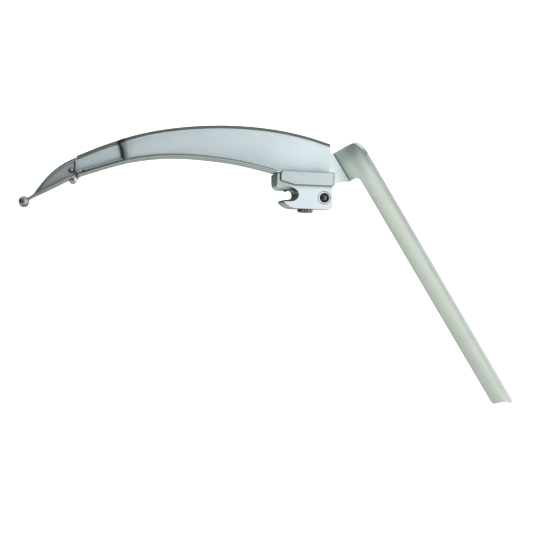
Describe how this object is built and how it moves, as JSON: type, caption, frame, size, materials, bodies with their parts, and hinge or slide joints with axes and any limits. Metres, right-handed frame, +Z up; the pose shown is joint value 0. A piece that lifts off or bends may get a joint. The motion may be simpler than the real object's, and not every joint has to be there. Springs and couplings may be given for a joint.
{
  "type": "laryngoscope",
  "caption": "Curved levering-tip laryngoscope blade: hook-on heel block, light guide, hinged tip, internal push rod and a long squeeze lever.",
  "frame": {"origin": "centre of the hook slot, on the axis of the handle's 4 mm cross pin, at mid thickness of the hook block", "axes": "+X from the blade's tip towards its heel and lever, +Z up and away from the handle, +Y away from the blade's open channel"},
  "size_m": [0.2226, 0.0192, 0.1229],
  "materials": {
    "satin_steel": "satin brushed stainless",
    "cover_steel": "fine satin stainless",
    "block_steel": "bead-blasted satin stainless",
    "machined_steel": "machined stainless",
    "lever_steel": "matt blasted stainless",
    "pin_steel": "polished stainless",
    "ball_steel": "polished bearing steel",
    "spring_steel": "drawn spring wire",
    "ferrule_steel": "polished, slightly warm",
    "guide_glass": "polished fibre end",
    "guide_sheath": "thin drawn tube"
  },
  "bodies": {
    "blade": {"blade_body": "satin_steel", "light_cover": "cover_steel", "rod_channel_strip": "machined_steel", "heel_cover": "machined_steel", "heel_cover_screw_front": "pin_steel", "heel_cover_screw_rear": "pin_steel", "heel_cover_screw_top": "pin_steel", "heel_standoff": "machined_steel", "hook_block": "block_steel", "block_screw_left": "pin_steel", "block_screw_right": "pin_steel", "side_plate": "block_steel", "side_plate_dowel_left": "pin_steel", "side_plate_dowel_right": "pin_steel", "inlet_ferrule": "ferrule_steel", "inlet_window": "guide_glass", "light_guide": "guide_sheath", "outlet_collar": "pin_steel", "outlet_lens": "guide_glass", "outlet_rivet": "pin_steel", "detent_sleeve": "machined_steel", "detent_spring": "spring_steel", "hook_ball_spring": "spring_steel", "spring_seat": "machined_steel", "return_spring": "spring_steel", "rod_guide": "machined_steel", "lever_pivot_pin": "pin_steel", "lever_stop_pin": "pin_steel", "tip_hinge_pin": "pin_steel"},
    "lever": {"lever": "lever_steel", "crank_pin": "pin_steel"},
    "rod": {"push_rod": "machined_steel", "rod_collar": "pin_steel"},
    "tip": {"tip_blade": "satin_steel", "tip_link_pin": "pin_steel"},
    "detent_near": {"detent_ball_near": "ball_steel"},
    "detent_far": {"detent_ball_far": "ball_steel"},
    "hook_retainer": {"hook_ball": "ball_steel"}
  },
  "joints": [
    {"name": "lever_swing", "type": "hinge", "parent": "blade", "child": "lever", "pos_m": [0.0105, 0.0074, 0.0206], "axis": [0, 1, 0], "range_deg": [0, 28], "stiffness_Nm_per_rad": 0.12, "springref_deg": -20.05},
    {"name": "rod_link", "type": "hinge", "parent": "lever", "child": "rod", "pos_m": [0.01219, 0.0057, 0.01381], "axis": [0, 1, 0], "range_deg": [-29.6, 0], "deforming": ["return_spring"]},
    {"name": "tip_flex", "type": "hinge", "parent": "blade", "child": "tip", "pos_m": [-0.094, 0, 0.0025], "axis": [0, 1, 0], "range_deg": [-55.5, 0]},
    {"name": "detent_near_press", "type": "slide", "parent": "blade", "child": "detent_near", "axis": [0, 1, 0], "range_m": [0, 0.0005], "stiffness_N_per_m": 4000, "springref_m": -0.0005, "deforming": ["detent_spring"]},
    {"name": "detent_far_press", "type": "slide", "parent": "blade", "child": "detent_far", "axis": [0, -1, 0], "range_m": [0, 0.0005], "stiffness_N_per_m": 4000, "springref_m": -0.0005},
    {"name": "hook_ball_press", "type": "slide", "parent": "blade", "child": "hook_retainer", "axis": [0, 0, 1], "range_m": [0, 0.00045], "stiffness_N_per_m": 2500, "springref_m": -0.0004, "deforming": ["hook_ball_spring"]}
  ],
  "couplings": [
    {"joint": "tip_flex", "follows": "lever_swing", "ratio": -1.9643},
    {"joint": "rod_link", "follows": "lever_swing", "ratio": -1.0443}
  ]
}
